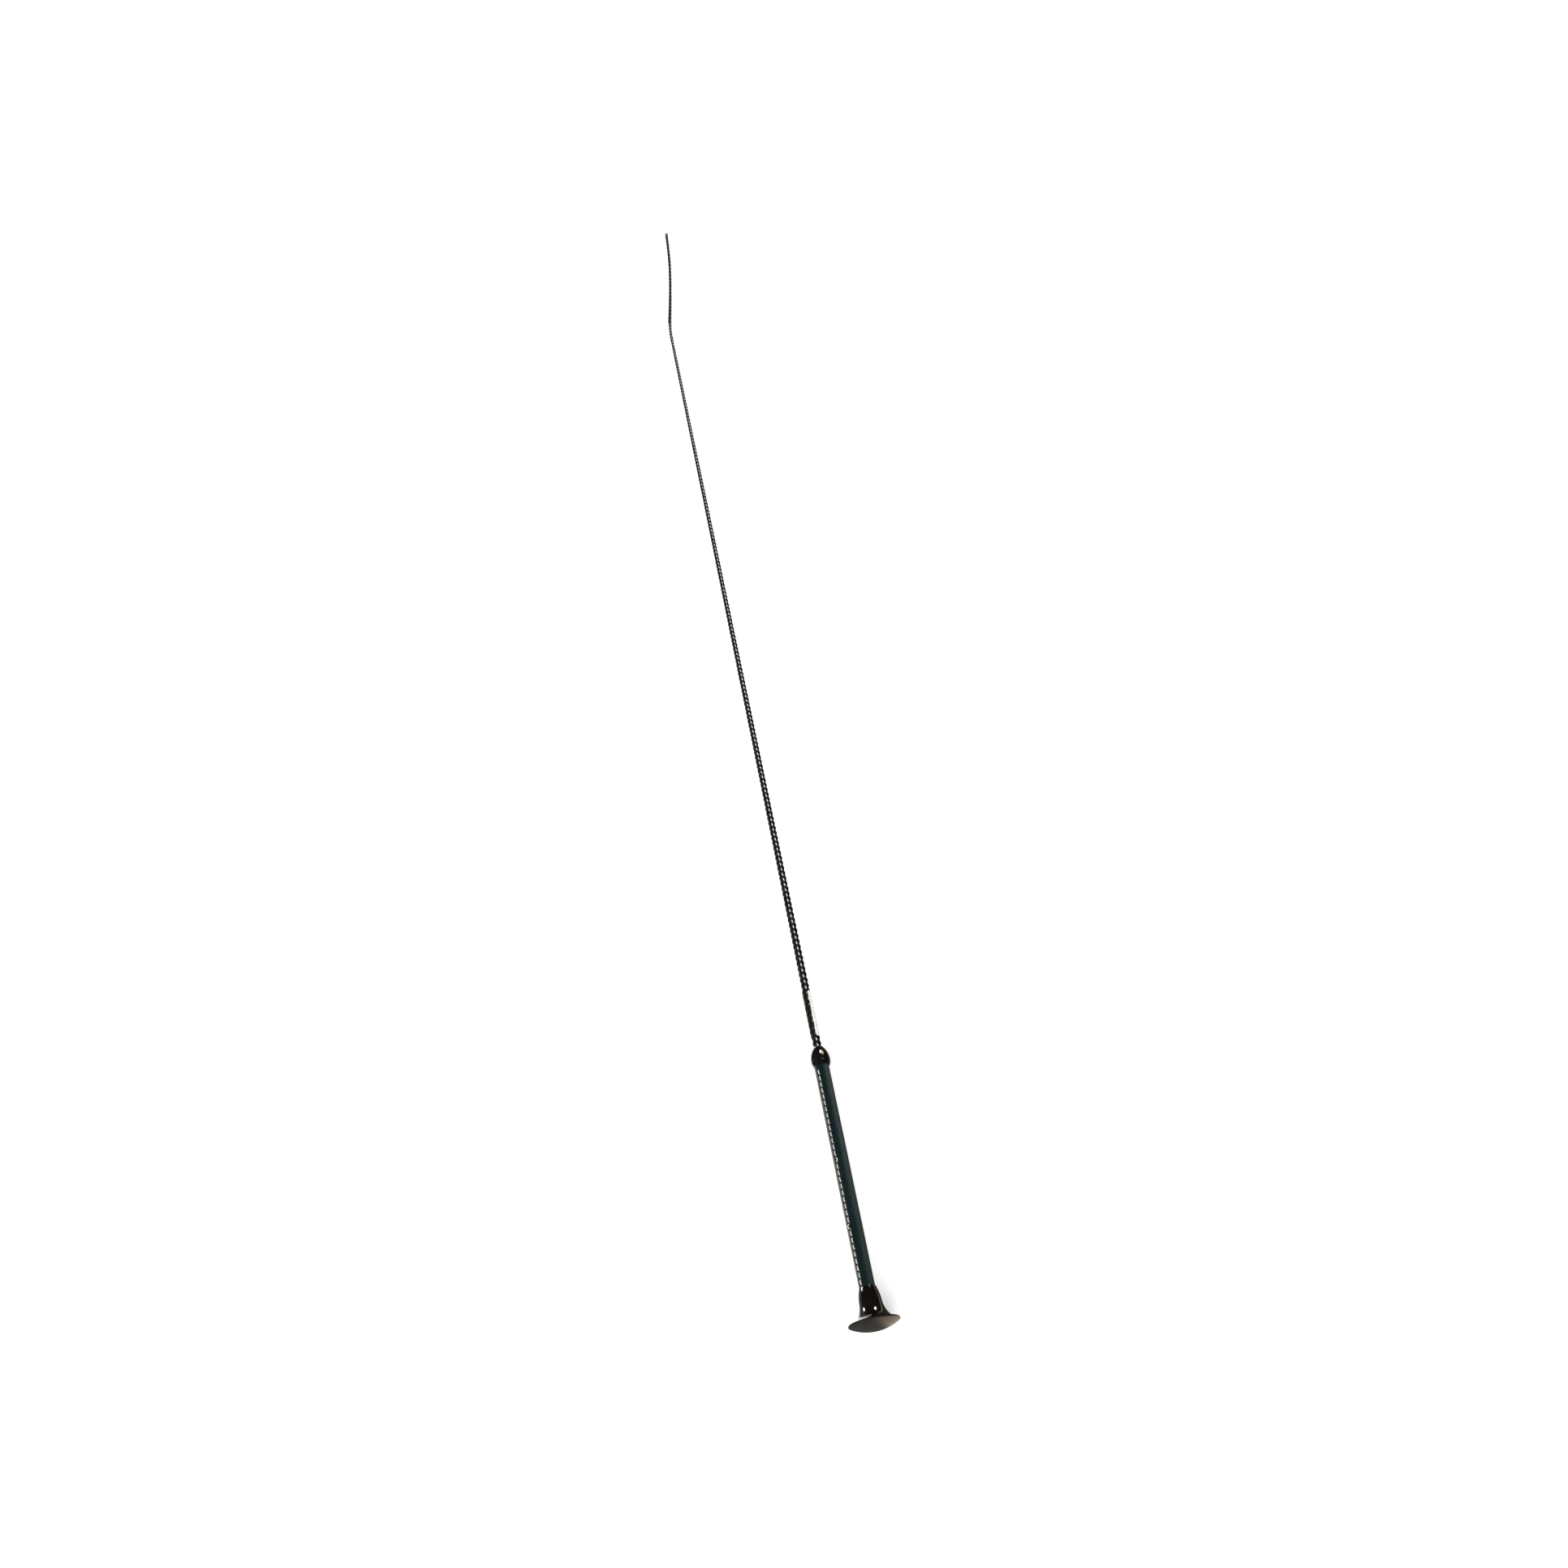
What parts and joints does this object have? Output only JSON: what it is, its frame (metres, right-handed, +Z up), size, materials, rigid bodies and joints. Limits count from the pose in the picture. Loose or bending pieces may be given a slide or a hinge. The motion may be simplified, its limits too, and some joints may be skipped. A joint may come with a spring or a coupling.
{
  "type": "dressage riding whip",
  "caption": "Slim riding whip at rest: mushroom cap, stitched leather grip, acorn ferrule, clear sleeve, tapered braided shaft and a short lash that turns at the tip.",
  "frame": {"origin": "on the surface that the whip lies on, under the middle of the stiff part, from the cap's dome to the end of the tip binding", "axes": "+Z up, +Y along the whip towards its lash, +X to the right of someone who looks from the cap to the tip"},
  "size_m": [0.0378, 1.1999, 0.036],
  "materials": {
    "cap_satin": "satin",
    "cap_gloss": "gloss",
    "steel": "turned",
    "fibreglass": "matte",
    "braid": "waxed",
    "clear_film": "clear gloss",
    "ferrule_gloss": "gloss",
    "grip_tube": "matte",
    "leather": "semi-matte",
    "stitch_thread": "waxed",
    "lash_cord": "matte"
  },
  "bodies": {
    "whip": {"cap_crown": "cap_satin", "cap_socket": "cap_gloss", "cap_weight": "steel", "core_rod": "fibreglass", "braided_cover": "braid", "clear_sleeve": "clear_film", "ferrule": "ferrule_gloss", "grip_core": "grip_tube", "grip_leather": "leather", "seam_stitches": "stitch_thread", "tip_binding": "braid", "lash_root": "lash_cord"},
    "lash": {"lash": "lash_cord", "lash_end": "lash_cord"}
  },
  "joints": [
    {"name": "lash_swing", "type": "hinge", "parent": "whip", "child": "lash", "pos_m": [0, 0.52584, 0.00227], "axis": [0, 0, 1], "range_deg": [-84, 96]}
  ]
}
